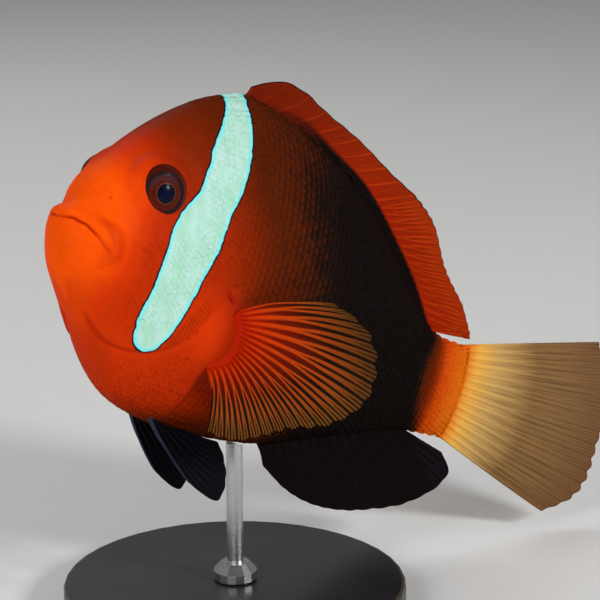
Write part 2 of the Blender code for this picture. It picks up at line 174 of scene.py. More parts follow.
# ---- the swimming line, and the fish's place over the stand ----
STATIONS = np.linspace(-0.2, 1.5, 341)
HEADING = -TAIL_SWING * np.clip((STATIONS - BEND_FROM) / (BEND_TO - BEND_FROM), 0, 1.2) ** 1.5
STEP = STATIONS[1] - STATIONS[0]
ACROSS = np.cumsum(np.sin(HEADING)) * STEP
ALONG = STATIONS[0] + np.cumsum(np.cos(HEADING)) * STEP
PITCH = np.array(Matrix.Rotation(NOSE_UP, 3, "Y"))


def flex(points):
    """Carries points of the straight fish onto the swimming line, and from shares to metres."""
    x, y, z = points[..., 0], points[..., 1], points[..., 2]
    turn = np.interp(x, STATIONS, HEADING)
    at_x = np.interp(x, STATIONS, ALONG) - y * np.sin(turn)
    at_y = np.interp(x, STATIONS, ACROSS) + y * np.cos(turn)
    return xyz(at_x, at_y, z) * STANDARD_LENGTH


EYE_AT = (0.125, 0.088)
EYE_SINK = 0.018


def eye_centre(side, x, z, deeper=0.0):
    return np.array([x, side * (flank(x, z) - EYE_SINK - deeper), z])


# Where the straight fish's origin sits, found from the middle of a packed eye.
EYE_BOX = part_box("eye_left")
ORIGIN = np.array((EYE_BOX[0] + EYE_BOX[1]) / 2) - PITCH @ flex(eye_centre(LEFT, *EYE_AT))


def to_world(points):
    return flex(points) @ PITCH.T + ORIGIN


def to_straight(world):
    """The straight-fish place of points in the world: the swimming line undone by a few steps."""
    bent = (world - ORIGIN) @ PITCH / STANDARD_LENGTH

    def off(x):
        """How far the points are along and across the swimming line from its place at x."""
        turn = np.interp(x, STATIONS, HEADING)
        off_x = bent[:, 0] - np.interp(x, STATIONS, ALONG)
        off_y = bent[:, 1] - np.interp(x, STATIONS, ACROSS)
        along = off_x * np.cos(turn) + off_y * np.sin(turn)
        return along, off_y * np.cos(turn) - off_x * np.sin(turn)

    x = bent[:, 0].copy()
    for _ in range(8):
        x += off(x)[0]
    return xyz(x, off(x)[1], bent[:, 2])


# ---- meshes ----
def new_object(name, data):
    made = bpy.data.objects.new(name, data)
    bpy.context.scene.collection.objects.link(made)
    return made


def new_shape(name, points, faces=()):
    """An object with a smooth mesh, from points in the world and lists of their numbers."""
    mesh = bpy.data.meshes.new(name)
    mesh.from_pydata(points.tolist(), [], faces)
    mesh.update()
    mesh.shade_smooth()
    return new_object(name, mesh)


def new_piece(name, points, faces, finish):
    """A shape of the model with its finish, its closed surface facing outwards."""
    piece = new_shape(name, points, faces.tolist())
    face_outwards(piece)
    piece.data.materials.append(finish)
    return piece


def store(piece, **measures):
    """Numbers, or places of three, at each point of a piece, for its material."""
    for name, values in measures.items():
        values = values.astype(np.float32)
        kind, field = ("FLOAT_VECTOR", "vector") if values.ndim == 2 else ("FLOAT", "value")
        made = piece.data.attributes.new(name, kind, "POINT")
        made.data.foreach_set(field, values.ravel())


def fetch(items, field, width=3, kind=np.float32):
    """One field of all of a mesh's items, as an array."""
    values = np.zeros(len(items) * width, kind)
    items.foreach_get(field, values)
    return values.reshape(-1, width) if width > 1 else values


def points_of(piece):
    return fetch(piece.data.vertices, "co").astype(float)


def unwrap(mesh, name, places):
    """A UV map that sets every corner at its point's place."""
    corners = fetch(mesh.loops, "vertex_index", 1, np.int32)
    layer = mesh.uv_layers.new(name=name)
    layer.data.foreach_set("uv", places[corners, :2].astype(np.float32).ravel())


def face_outwards(piece):
    """Flips a closed piece's faces where the volume inside them comes out negative."""
    piece.data.calc_loop_triangles()
    corners = np.array([t.vertices[:] for t in piece.data.loop_triangles])
    a, b, c = (points_of(piece)[corners[:, i]] for i in range(3))
    if np.sum(np.cross(a, b) * c) < 0:
        piece.data.flip_normals()


def grid_faces(rows, columns, closed=False):
    """Quads between the rows of a grid of points numbered row by row."""
    last = columns if closed else columns - 1
    r, c = np.meshgrid(np.arange(rows - 1), np.arange(last), indexing="ij")
    row, beside = r * columns, (c + 1) % columns
    quads = [row + c, row + beside, row + columns + beside, row + columns + c]
    return np.stack(quads, -1).reshape(-1, 4)


def grid_rim(rows, columns):
    """The points round such a grid's border."""
    return np.concatenate([
        np.arange(columns), np.arange(1, rows) * columns + columns - 1,
        (rows - 1) * columns + np.arange(columns - 2, -1, -1), np.arange(rows - 2, 0, -1) * columns,
    ])


def tube_faces(rows, columns):
    """Triangles of a tube of rings, closed at each end by a tip point numbered after them."""
    quads = grid_faces(rows, columns, closed=True)
    ring = np.arange(columns)
    after = (ring + 1) % columns
    tip, base = rows * columns, (rows - 1) * columns
    front = xyz(tip, after, ring)
    rear = xyz(tip + 1, base + ring, base + after)
    return np.vstack([quads[:, [0, 1, 2]], quads[:, [0, 2, 3]], front, rear])


def unit(vectors):
    return vectors / np.maximum(np.linalg.norm(vectors, axis=-1, keepdims=True), 1e-12)


# ---- markings ----
BAR_FRONT = curve(
    (-160, 182), (-135, 164), (-100, 151), (-50, 149), (0, 147), (42, 146), (64, 150), (83, 160),
    (101, 172), (123, 182), (150, 188), (187, 197), (230, 216), (280, 241), (310, 252),
)
BAR_REAR = curve(
    (-160, 192), (-135, 205), (-100, 217), (-50, 225), (0, 231), (40, 241), (90, 246), (140, 261),
    (200, 272), (250, 276), (283, 278), (310, 292),
)
BAR_LEAN = 0.9  # the share of a step along x that lies across the bar's edges
BAR_FOOT = -0.147
BAR_ROUND = 1.4  # how sharp the bar's corners are: more is sharper

# How warm and lit the ground colour is: 1 on the snout, less towards the nape. It is partly the
# fish's own colour and partly painted light falling on the front of the head.
SNOUT_WARMTH_AND_LIGHT = curve(
    (0, 1000), (50, 1000), (80, 860), (120, 600), (180, 500), (280, 420), (360, 340),
)
# Warmer and cooler patches: how much, then middle and width along x and along z.
WARM_PATCHES = (
    # The first patch is painted light, over the gill cover's rear and the pectoral's base.
    (0.27, 0.265, 0.07, -0.065, 0.06),
    (0.20, 0.335, 0.045, -0.185, 0.03),
    (0.10, 0.305, 0.035, -0.085, 0.05),
    (-0.16, 0.07, 0.05, -0.10, 0.04),
)
# The first and the last x of the change from red to black, by height.
BLACK_FROM = curve((-220, 370), (-100, 370), (0, 315), (100, 285), (200, 225), (300, 180))
BLACK_TO = curve((-220, 700), (-100, 680), (0, 640), (100, 600), (200, 570), (300, 620))
# The top of the black, on the base of the dorsal fin.
BLACK_TOP = curve(
    (300, 300), (370, 312), (445, 318), (545, 298), (655, 268), (750, 214), (835, 152),
    (890, 98), (950, 60),
)


def markings(straight):
    """The ground colour's four measures at points of the straight fish: millimetres inside the
    white bar's edge, and from 0 to 1 how warm with painted light and shade, how black and how far
    onto the tail stalk."""
    x, z = straight[:, 0], straight[:, 2]
    front = (x - BAR_FRONT(z)) * BAR_LEAN
    rear = (BAR_REAR(z) - x) * BAR_LEAN
    edges = [np.clip(edge * IN_MM, -20, 20) for edge in (front, rear, z - BAR_FOOT)]
    bar = -np.log(sum(np.exp(-BAR_ROUND * edge) for edge in edges)) / BAR_ROUND
    warm = SNOUT_WARMTH_AND_LIGHT(x) - 0.42 * ease(z, 0.03, 0.26) + 0.12 * ease(-z, 0.03, 0.15)
    for much, at_x, wide_x, at_z, wide_z in WARM_PATCHES:
        warm += much * hump(x - at_x, wide_x) * hump(z - at_z, wide_z)
    # Darker towards the rear, and painted shade on the belly where it turns under behind the head.
    warm -= 0.30 * ease(x, 0.22, 0.45) + 0.50 * ease(-z, 0.185, 0.25) * ease(x, 0.19, 0.33)
    black = np.clip((x - BLACK_FROM(z)) / (BLACK_TO(z) - BLACK_FROM(z)), 0, 1)
    black *= 1 - ease(z - BLACK_TOP(x), -0.008, 0.012)
    black_end = 0.865 + 0.35 * (z - 0.01) ** 2 / 0.09
    black *= 1 - ease(x, black_end, black_end + 0.05)
    return {"bar": bar, "warm": np.clip(warm, 0, 1), "black": black, "stalk": ease(x, 0.90, 1.0)}


def mark(piece):
    straight = to_straight(points_of(piece))
    store(piece, **markings(straight))
    return straight


# ---- materials ----
def fill(tree, node, inputs):
    """Links or sets a node's inputs."""
    for name, value in inputs.items():
        socket = node.inputs[name]
        if isinstance(value, bpy.types.NodeSocket):
            tree.links.new(value, socket)
        else:
            socket.default_value = (*value, 1.0) if socket.type == "RGBA" else value


def add_node(tree, kind, inputs=None, **settings):
    """A new node's outputs, once its settings and inputs are made."""
    node = tree.nodes.new(kind)
    for key, value in settings.items():
        setattr(node, key, value)
    fill(tree, node, inputs or {})
    return node.outputs


class Finish:
    """A material's node tree, with short calls for the nodes that the finishes use."""

    def __init__(self, name):
        self.material = bpy.data.materials.new(name)
        self.material.use_nodes = True

    def node(self, kind, inputs=None, **settings):
        return add_node(self.material.node_tree, "ShaderNode" + kind, inputs, **settings)

    def own(self, name):
        """A piece's own attribute: a number at "Fac" and a place at "Vector"."""
        return self.node("Attribute", attribute_name=name)

    def number(self, name):
        return self.own(name)["Fac"]

    def place(self):
        return self.node("TexCoord")["Object"]

    def stretched(self, vector, *scale):
        return self.node("Mapping", {"Vector": vector, "Scale": scale})["Vector"]

    def noise(self, vector, scale, detail=3.0, roughness=0.55):
        inputs = {"Vector": vector, "Scale": scale, "Detail": detail, "Roughness": roughness}
        return self.node("TexNoise", inputs)["Fac"]

    def math(self, operation, a, b, c=0.0, clamp=False):
        return self.node("Math", {0: a, 1: b, 2: c}, operation=operation, use_clamp=clamp)[0]

    def times(self, a, b):
        return self.math("MULTIPLY", a, b)

    def plus(self, a, b, clamp=False):
        return self.math("ADD", a, b, clamp=clamp)

    def swing(self, value, reach):
        """A value from 0 to 1 as one from -reach to reach."""
        return self.math("MULTIPLY_ADD", value, 2 * reach, -reach)

    def span(self, value, low, high, out_low=0.0, out_high=1.0):
        """value from low to high, mapped evenly onto out_low to out_high and held there."""
        ends = {"From Min": low, "From Max": high, "To Min": out_low, "To Max": out_high}
        return self.node("MapRange", {"Value": value, **ends})["Result"]

    def mix(self, share, a, b, blend="MIX"):
        return self.node("Mix", {0: share, 6: a, 7: b}, data_type="RGBA", blend_type=blend)[2]

    def over(self, colour, top, value, *ends):
        """Lays the colour top over another, by how far value is between its ends."""
        return self.mix(self.span(value, *ends), colour, top)

    def shaded(self, colour, tone):
        """A colour made darker or lighter by a number."""
        grey = self.node("CombineColor", {0: tone, 1: tone, 2: tone})["Color"]
        return self.mix(1.0, colour, grey, "MULTIPLY")

    def ramp(self, value, *stops):
        """Colours along a value from 0 to 1."""
        ramp = self.node("ValToRGB", {"Fac": value})["Color"]
        elements = ramp.node.color_ramp.elements
        while len(elements) < len(stops):
            elements.new(0.5)
        for element, (position, colour) in zip(elements, stops):
            element.position = position
            element.color = (*colour, 1.0)
        return ramp

    def bump(self, height, distance, strength=1.0, **before):
        inputs = {"Height": height, "Distance": distance, "Strength": strength, **before}
        return self.node("Bump", inputs)["Normal"]

    def set(self, **values):
        tree = self.material.node_tree
        inputs = {name.replace("_", " "): value for name, value in values.items()}
        fill(tree, tree.nodes["Principled BSDF"], inputs)
        return self.material


WARM_COLOURS = (
    (0.0, (0.090, 0.011, 0.001)),
    (0.25, (0.210, 0.016, 0.001)),
    (0.5, (0.390, 0.020, 0.001)),
    (0.75, (0.600, 0.034, 0.001)),
    (1.0, (0.860, 0.078, 0.001)),
)
STALK_COLOURS = (
    (0.0, (0.36, 0.024, 0.002)), (0.45, (0.62, 0.070, 0.002)), (1.0, (0.70, 0.150, 0.006)),
)
BROWN, NEAR_BLACK = (0.088, 0.0125, 0.0018), (0.013, 0.0052, 0.0030)
BLACK, OUTLINE = (0.0050, 0.0032, 0.0030), (0.006, 0.004, 0.012)
BAR_MILK, BAR_GREEN, BAR_EDGE = (0.46, 0.71, 0.64), (0.36, 0.66, 0.50), (0.19, 0.76, 0.77)
# Painted shade in creases: a dark red, and a near black where they are deepest.
CREASE_SHADE, DEEP_CREASE_SHADE = (0.360, 0.007, 0.001), (0.040, 0.003, 0.002)


def ground_colour(f, black, drift):
    """The body's colour from its measures. drift breaks the zones' borders."""
    warm = f.plus(f.number("warm"), drift, clamp=True)
    stalk = f.ramp(f.number("stalk"), *STALK_COLOURS)
    colour = f.over(f.ramp(warm, *WARM_COLOURS), stalk, f.number("stalk"), 0.0, 0.3)
    colour = f.over(colour, BROWN, black, 0.04, 0.42)
    colour = f.over(colour, NEAR_BLACK, black, 0.36, 0.72)
    return f.over(colour, BLACK, black, 0.70, 1.0)


def barred(f, colour):
    """Lays the white bar with its bright rim and dark outline over a colour."""
    place = f.place()
    bar = f.plus(f.number("bar"), f.swing(f.noise(place, 520, 3.0), 0.31))
    cloud = f.noise(f.stretched(place, 1.0, 1.0, 0.45), 520, 4.0, 0.7)
    inside = f.over(BAR_GREEN, BAR_MILK, cloud, 0.38, 0.62)
    inside = f.over(BAR_EDGE, inside, bar, 0.12, 0.62)
    colour = f.over(colour, OUTLINE, bar, -0.29, -0.17)
    return f.over(colour, inside, bar, -0.05, 0.04)


def skin_finish():
    """The bare skin: satin, with fine pores and soft blotches, and painted shade in its creases and
    between the comb's ridges.
    """
    f = Finish("fish_skin")
    place = f.place()
    drift = f.swing(f.noise(place, 160, 4.0), 0.08)
    black = f.plus(f.number("black"), drift, clamp=True)
    colour = barred(f, ground_colour(f, black, drift))
    colour = f.shaded(colour, f.span(f.noise(place, 900, 4.0, 0.65), 0.35, 0.65, 0.95, 1.04))
    # Painted shade in the creases: darker red, and near black at the deepest.
    crease = f.number("crease")
    colour = f.mix(f.times(crease, 0.85), colour, CREASE_SHADE)
    colour = f.over(colour, DEEP_CREASE_SHADE, crease, 0.86, 1.0, 0.0, 0.85)
    # The gill cover's comb: ridges in the bump, and painted shade in the grooves between them, kept
    # off the bar.
    wave = f.node("Math", {0: f.times(f.number("comb_run"), math.tau)}, operation="SINE")[0]
    off_bar = f.span(f.number("bar"), 0.0, -0.8)
    teeth = f.times(wave, f.times(f.number("comb"), off_bar))
    colour = f.mix(f.math("MULTIPLY", teeth, -0.30, clamp=True), colour, CREASE_SHADE)
    pores = f.noise(place, 2600, 3.0)
    normal = f.bump(pores, 0.00006, 0.5, Normal=f.bump(teeth, 0.00010))
    roughness = f.span(pores, 0.3, 0.7, 0.44, 0.56)
    return f.set(Base_Color=colour, Roughness=roughness, Normal=normal, Specular_IOR_Level=0.022)


def coat_finish():
    """The scales: the same markings, each scale a little apart in tone, with painted light on its
    rear edge and painted shade towards its root.
    """
    f = Finish("fish_scales")
    place = f.place()
    drift = f.swing(f.noise(place, 160, 4.0), 0.08)
    # Painted light on each scale's rear edge and painted shade towards its root; in the black it
    # also makes the rear edge a little less black.
    rear = f.span(f.number("rim"), 0.50, 0.90)
    tint = f.number("tint")
    change = f.plus(f.plus(drift, f.swing(tint, 0.08)), f.swing(rear, -0.10))
    change = f.times(change, f.span(f.number("black"), 0.0, 0.25))
    ground = ground_colour(f, f.plus(f.number("black"), change, clamp=True), drift)
    # The painted light and shade as a tone, weaker where the ground is warm.
    edge = f.math("MULTIPLY_ADD", rear, 0.13, -0.07)
    edge = f.times(edge, f.span(f.number("warm"), 0.2, 0.5, 1.0, 0.35))
    ground = f.shaded(ground, f.plus(f.math("MULTIPLY_ADD", tint, 0.10, 0.92), edge))
    normal = f.bump(f.noise(place, 3400, 2.0), 0.00004, 0.4)
    return f.set(Base_Color=barred(f, ground), Roughness=f.span(rear, 0.0, 1.0, 0.58, 0.48),
                 Normal=normal, Specular_IOR_Level=0.012)


# ---- the skin and its folds ----
SKIN_SIDES = 169  # points on each flank, from the back to the belly
LINE_REACH = 0.06  # how far round a line its folds are worked out


class Line:
    """A line on both flanks, through (x, z) knots in thousandths, for folds that follow it."""

    def __init__(self, *knots, steps=50):
        knots = np.array(knots) / 1000
        runs = running_sum(np.hypot(*np.diff(knots, axis=0).T))
        share = np.linspace(0, runs[-1], steps)
        x, z = (smooth_curve(*zip(runs, values))(share) for values in knots.T)
        self.points = xyz(x, flank(x, z), z)

    def near(self, straight):
        """For each point: its distance from the line and its height above it, both in
        millimetres, and how far along the line it is, from 0 to 1. The height's sign is that of
        the line's left hand, so above a line that runs backwards."""
        line, last = self.points, len(self.points) - 1
        points = straight * 1.0
        points[:, 1] = np.abs(points[:, 1])
        inside = (points > line.min(0) - LINE_REACH) & (points < line.max(0) + LINE_REACH)
        index = np.flatnonzero(inside[:, 0] & inside[:, 2])
        best, side, share = np.outer((FAR, 0, 0), np.ones(len(index)))
        for i in range(last):
            from_start, way = points[index] - line[i], line[i + 1] - line[i]
            t = np.clip(from_start @ way / (way @ way), 0, 1)
            gap = np.linalg.norm(from_start - t[:, None] * way, axis=1)
            turn = way[0] * from_start[:, 2] - way[2] * from_start[:, 0]
            nearer = gap < best
            best = np.where(nearer, gap, best)
            side = np.where(nearer, np.sign(turn), side)
            share = np.where(nearer, (i + t) / last, share)
        found = np.outer((FAR, FAR, 0), np.ones(len(straight)))
        found[:, index] = best * IN_MM, best * side * IN_MM, share
        return found


MOUTH = Line(
    (-12, -2), (2, -1), (6, 1), (12, -1), (20, -3), (27, -8), (35, -13), (43, -19), (52, -25),
    (63, -32), (71, -41), steps=80,
)
JAW_FOLD = Line(
    (6, 36), (12, 32), (20, 26), (33, 17), (46, 11), (58, 7), (67, 1), (74, -11), (79, -26),
    (78, -38), (71, -46),
)
LOBE_FOLD = Line((26, 13), (40, 10), (47, 5), (56, -4), (63, -15), (65, -25))
CHEEK_EDGE = Line((76, 6), (88, -4), (104, -8), (124, -6), (140, 2))
THROAT = Line((40, -80), (56, -98), (76, -117))
GILL_EDGE = Line(
    (83, -115), (108, -134), (134, -149), (177, -149), (229, -121), (257, -85), (272, -50),
    (290, -14),
)
SLIT = Line((289, -10), (296, -18), (308, -24), (320, -30))
CHEEK_RIM = Line(
    (214, 120), (212, 75), (203, 30), (190, -20), (176, -65), (160, -100), (130, -112),
    (100, -100),
)
PAD = Line((302, -58), (311, -80), (316, -100), (312, -114))
# Small folds: a line and how it fades to its ends, then how much, and how wide in millimetres,
# for the groove, for the lip beside it and for the painted shade in the groove.
SMALL_FOLDS = (
    (LOBE_FOLD, 1.0, (0.09, 0.50), (0, 0, 1), (0.40, 0.55)),
    (CHEEK_EDGE, 1.0, (0.07, 0.35), (0.06, 0.6, 0.5), (0, 1)),
    (THROAT, 1.0, (0.11, 0.45), (0, 0, 1), (0.26, 0.48)),
    (CHEEK_RIM, 0.5, (0.05, 0.30), (0.035, 0.5, 0.4), (0, 1)),
)
NOSTRIL_AT = (0.041, 0.051)
EYE_RADIUS = 2.97 * MM
PECTORAL_AT = (0.322, -0.066)
PAD_MIDDLE = (0.312, -0.086)


def folds(straight):
    """How far the skin stands out from the body's plain form, in millimetres, and how much painted
    shade it gets in a crease, from 0 to 1, where its colour is made darker."""
    rise, crease = np.zeros((2, len(straight)))

    gap, height, along = MOUTH.near(straight)
    parted = ease(along, 0.06, 0.22) * (1 - 0.88 * ease(along, 0.42, 0.62))
    fade = 1 - ease(along, 0.74, 1.0)
    rise -= (0.14 + 0.30 * parted) * fade * hump(gap, 0.16)
    rise += 0.22 * fade * hump(height - 0.85, 0.65) + 0.07 * fade * hump(height + 0.75, 0.60)
    crease += (0.12 + 0.75 * parted) * fade * hump(gap, 0.17)
    crease += 0.34 * ease(along, 0.48, 0.66) * fade * hump(gap, 0.40)

    gap, height, along = JAW_FOLD.near(straight)
    front, above = 1 - ease(along, 0.12, 0.60), height - 0.30
    rise -= 1.05 * front * hump(above, np.where(above > 0, 2.7, 1.45))
    end = 1 - 0.60 * ease(along, 0.84, 1.0)
    deep = ease(along, 0.25, 0.50) * end
    rise -= 0.20 * deep * hump(gap, 0.48)
    rise += 0.09 * deep * hump(height + 1.0, 0.80) + 0.07 * deep * hump(height - 0.85, 0.65)
    crease += 0.42 * ease(along, 0.05, 0.5) * end * hump(gap, 0.46)
    crease += 0.26 * ease(along, 0.40, 0.75) * hump(height + 1.1, 0.95) * (gap < 3)

    gap, height, along = GILL_EDGE.near(straight)
    fade = ease(along, 0.0, 0.10) * (1 - 0.4 * ease(along, 0.1, 0.35))
    fade *= 1 - ease(along, 0.80, 1.0)
    rise -= 0.28 * fade * hump(height + 0.28, 0.36)
    rise += 0.16 * fade * hump(height, np.where(height > 0, 1.8, 0.20))
    crease += (0.5 - 0.2 * ease(along, 0.2, 0.5)) * fade * hump(height + 0.28, 0.34)

    gap, height, along = SLIT.near(straight)
    groove = swell(np.clip(along, 0.08, 1)) * hump(gap, 0.30)
    rise += 0.30 * swell(along) * hump(height - 1.20, 1.00) - 0.60 * groove
    crease += 1.3 * groove

    for line, power, (deep, wide), (lip, lip_at, lip_wide), (dark, shade_wide) in SMALL_FOLDS:
        gap, height, along = line.near(straight)
        fade = swell(along) ** power
        rise += fade * (lip * hump(height - lip_at, lip_wide) - deep * hump(gap, wide))
        crease += fade * dark * hump(gap, shade_wide)

    rise += 0.55 * hump(PAD.near(straight)[0], 2.4)

    hole = np.hypot(*(straight[:, ::2] - NOSTRIL_AT).T) * IN_MM
    rise += 0.055 * hump(hole - 0.42, 0.20) - 0.26 * hump(hole, 0.17)
    crease += 0.5 * hump(hole, 0.16)
    return rise, np.clip(crease, 0, 1)


COMB_TEETH = 44


def comb(straight):
    """Where the gill cover's edge is ridged like a comb, from 0 to 1, and the count of ridges."""
    _, height, along = GILL_EDGE.near(straight)
    share = ease(along, 0.42, 0.52) * (1 - ease(along, 0.84, 0.96))
    share *= ease(height, 0.1, 0.5) * (1 - ease(height, 1.6, 3.0))
    return share, along * COMB_TEETH


SOCKET_SHIFT = (-0.0055, -0.0007)  # the socket's middle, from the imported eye's
DEEPER = {LEFT: 0.0, RIGHT: 0.0042}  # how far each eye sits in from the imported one
SOCKET_LOOKS, PUPIL_LOOKS = (-0.24, 0.14), (-0.375, -0.085)  # forward and up, for 1 sideways
LID_RISE = {LEFT: 0.90, RIGHT: 0.55}  # how far the skin climbs to an eye's rim from below it
BALL = 4.30  # the eyeball's radius, in millimetres
BALL_TOP = 3.20  # how far its front stands above the eye's middle
SHARE_HIDDEN, HIDDEN = 0.985, -2.0  # inside this share of the rim the skin goes under the ball


def eye_axis(side, looks=SOCKET_LOOKS):
    """The eye's middle and the way that its socket, or its pupil, faces in the world."""
    middle = eye_centre(side, *np.add(EYE_AT, SOCKET_SHIFT), DEEPER[side])
    return to_world(middle), PITCH @ unit(np.array([looks[0], side, looks[1]]))


def socket(points, rise):
    """Brings the skin down to the eyeball's rim round each eye, with a thin lid along it, and
    hides it under the ball. points are in the world, before the folds."""
    rim_height = BALL_TOP - BALL + math.sqrt(BALL**2 - (EYE_RADIUS / MM) ** 2) - 0.12
    for side in SIDES:
        middle, way = eye_axis(side)
        off = points - middle
        out = off @ way
        share = np.linalg.norm(off - out[:, None] * way, axis=1) / EYE_RADIUS
        near = out > -1.5 * MM
        rise[near & (share < SHARE_HIDDEN)] = HIDDEN
        ring = near & (share >= SHARE_HIDDEN) & (share < 2.2)
        height, share = out[ring] / MM, share[ring]
        pull = 1 - ease(share, 1.0, 1.85)
        lift = (rim_height - height) * np.where(height < rim_height, LID_RISE[side], 1.0)
        lid = 0.10 * hump(share - 1.06, 0.05) - 0.22 * hump(share - 0.985, 0.035)
        rise[ring] = mix(rise[ring], lift, pull) + lid - 0.05 * hump(share - 1.20, 0.06)
    return rise


SPACING = smooth_curve(
    (0, 0.00085), (0.03, 0.0013), (0.10, 0.0016), (0.25, 0.0019), (0.34, 0.0024), (0.42, 0.008),
    (1, 0.010),
)


def stations():
    """Places along the body, close together on the snout and wider apart towards the tail."""
    fine = np.linspace(0, 1, 4001)
    count = running_sum(np.diff(fine) / SPACING((fine[1:] + fine[:-1]) / 2))
    tip = SPACING(0) * np.array([0.01, 0.05, 0.13, 0.27, 0.45, 0.7])
    return np.concatenate([tip, np.interp(np.arange(1, int(count[-1])), count, fine)])


def ring_angles(x):
    """Angles that part the body's outline at x evenly, once round from the back."""
    angle, runs = outline(x, 240)
    half = np.interp(np.linspace(0, runs[-1], SKIN_SIDES), runs, angle)
    return np.concatenate([half, -half[-2:0:-1]])


def add_skin(finish):
    """One closed surface from the snout to the tail's root, with its folds."""
    xs = stations()
    angles = np.array([ring_angles(x) for x in xs])
    rows, columns = angles.shape
    straight = body_point(xs[:, None], angles).reshape(-1, 3)
    world = to_world(straight)
    grid = world.reshape(rows, columns, 3)
    around = np.roll(grid, -1, axis=1) - np.roll(grid, 1, axis=1)
    normals = unit(np.cross(np.gradient(grid, axis=0), around)).reshape(-1, 3)
    rise, crease = folds(straight)
    points = world + normals * (socket(world, rise) * MM - COAT)[:, None]
    tips = [points[:columns].mean(0), points[-columns:].mean(0)]
    piece = new_piece("skin", np.vstack([points, tips]), tube_faces(rows, columns), finish)
    share, run = comb(mark(piece))
    store(piece, crease=np.append(crease, [0, 0]), comb=share, comb_run=run)
    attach(piece, "root")
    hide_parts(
        "head", "upper_jaw", "lower_jaw", "gill_cover_left", "gill_cover_right", "trunk",
        "tail_stalk",
    )


# ---- the coat of scales ----
SCALE_LONG = smooth_curve(
    (0, 0.0066), (0.14, 0.0076), (0.24, 0.0100), (0.34, 0.0140), (0.42, 0.0150), (0.62, 0.0148),
    (0.85, 0.0112), (1, 0.0090),
)
SCALE_WIDE = smooth_curve(
    (0, 0.0072), (0.14, 0.0082), (0.24, 0.0104), (0.34, 0.0138), (0.42, 0.0150), (0.62, 0.0148),
    (0.85, 0.0110), (1, 0.0090),
)
SCALE_LENGTH, SCALE_WIDTH = 1.46, 1.26  # a scale's own size, for 1 of its place
SCALE_ROOT = 0.34  # how far a scale reaches forward of its place
SCALE_DEEP = 0.11  # how thick a scale is
BAKE_PATCH = 0.003  # the side of each scale's patch on the coat's unwrap


def scale_template():
    """One scale: a domed plate with a round rear edge, closed underneath."""
    rows, columns = 5, 5
    s = np.linspace(0, 1, rows)[:, None]
    t = np.linspace(-1, 1, columns)
    width = np.sqrt(1 - np.clip((s - 0.35) / 0.75, 0, 1) ** 3.4) * mix(0.72, 1.0, ease(s, 0, 0.35))
    x = s * (SCALE_LENGTH - 0.22 * t**2 * s) - SCALE_ROOT
    y = SCALE_WIDTH / 2 * t * width
    dome, tilt = 0.10 * (1 - t**2) * (1 - 0.6 * s), 0.30 * s
    top = xyz(x, y, dome + tilt - 0.02 - 0.05 * (1 - s) * np.abs(t)).reshape(-1, 3)
    rim = grid_rim(rows, columns)
    under = len(top) + np.arange(len(rim))
    points = np.vstack([top, top[rim] - (0, 0, SCALE_DEEP)])
    plate = grid_faces(rows, columns)[:, ::-1]
    edge = np.stack([rim, under, np.roll(under, -1), np.roll(rim, -1)], -1)
    faces = [*plate.tolist(), *edge.tolist(), under[::-1].tolist()]
    template = new_shape("scale_shape", points, faces)
    rear = (points[:, 0] + SCALE_ROOT) / SCALE_LENGTH
    patch = xyz(rear - 0.5, points[:, 1] / SCALE_WIDTH, 0)
    store(template, rim=np.clip(rear, 0, 1), patch=patch)
    face_outwards(template)
    return template


def coat_tree():
    """Sets a scale on each point: upright on its "out" vector, its length along "back", sized by
    "size" and pitched up towards its rear edge."""
    tree = bpy.data.node_groups.new("Scale coat", "GeometryNodeTree")
    kinds = {"Roots": "Geometry", "Scale shape": "Object", "Pitch": "Float",
             "Unevenness": "Float", "Seed": "Int", "Finish": "Material"}
    sockets = {}
    for name, kind in kinds.items():
        made = tree.interface.new_socket(name, in_out="INPUT", socket_type="NodeSocket" + kind)
        sockets[name] = made.identifier
    tree.interface.new_socket("Coat", in_out="OUTPUT", socket_type="NodeSocketGeometry")

    def node(kind, inputs, **settings):
        return add_node(tree, kind, inputs, **settings)[0]

    def vector(name):
        settings = {"data_type": "FLOAT_VECTOR"}
        return node("GeometryNodeInputNamedAttribute", {"Name": name}, **settings)

    def minus(value):
        return node("ShaderNodeMath", {0: value, 1: -1.0}, operation="MULTIPLY")

    def aligned(axis, inputs, **settings):
        return node("FunctionNodeAlignRotationToVector", inputs, axis=axis, **settings)

    given = add_node(tree, "NodeGroupInput")
    upright = aligned("Z", {"Vector": vector("out")})
    facing = aligned("X", {"Rotation": upright, "Vector": vector("back")}, pivot_axis="Z")
    most = given["Unevenness"]
    ends = {"Min": minus(most), "Max": most, "Seed": given["Seed"]}
    chance = node("FunctionNodeRandomValue", ends, data_type="FLOAT_VECTOR")
    tilt = node("ShaderNodeCombineXYZ", {"Y": minus(given["Pitch"])})
    sway = node("ShaderNodeVectorMath", {0: tilt, 1: chance}, operation="ADD")
    turns = {"Rotation": facing, "Rotate By": node("FunctionNodeEulerToRotation", {0: sway})}
    turned_up = node("FunctionNodeRotateRotation", turns, rotation_space="LOCAL")
    shape = add_node(tree, "GeometryNodeObjectInfo", {"Object": given["Scale shape"]})
    laid = node("GeometryNodeInstanceOnPoints", {
        "Points": node("GeometryNodeMeshToPoints", {"Mesh": given["Roots"]}),
        "Instance": shape["Geometry"], "Rotation": turned_up, "Scale": vector("size"),
    })
    real = node("GeometryNodeRealizeInstances", {0: laid})
    painted = node("GeometryNodeSetMaterial", {"Geometry": real, "Material": given["Finish"]})
    add_node(tree, "NodeGroupOutput", {0: painted})
    return tree, sockets


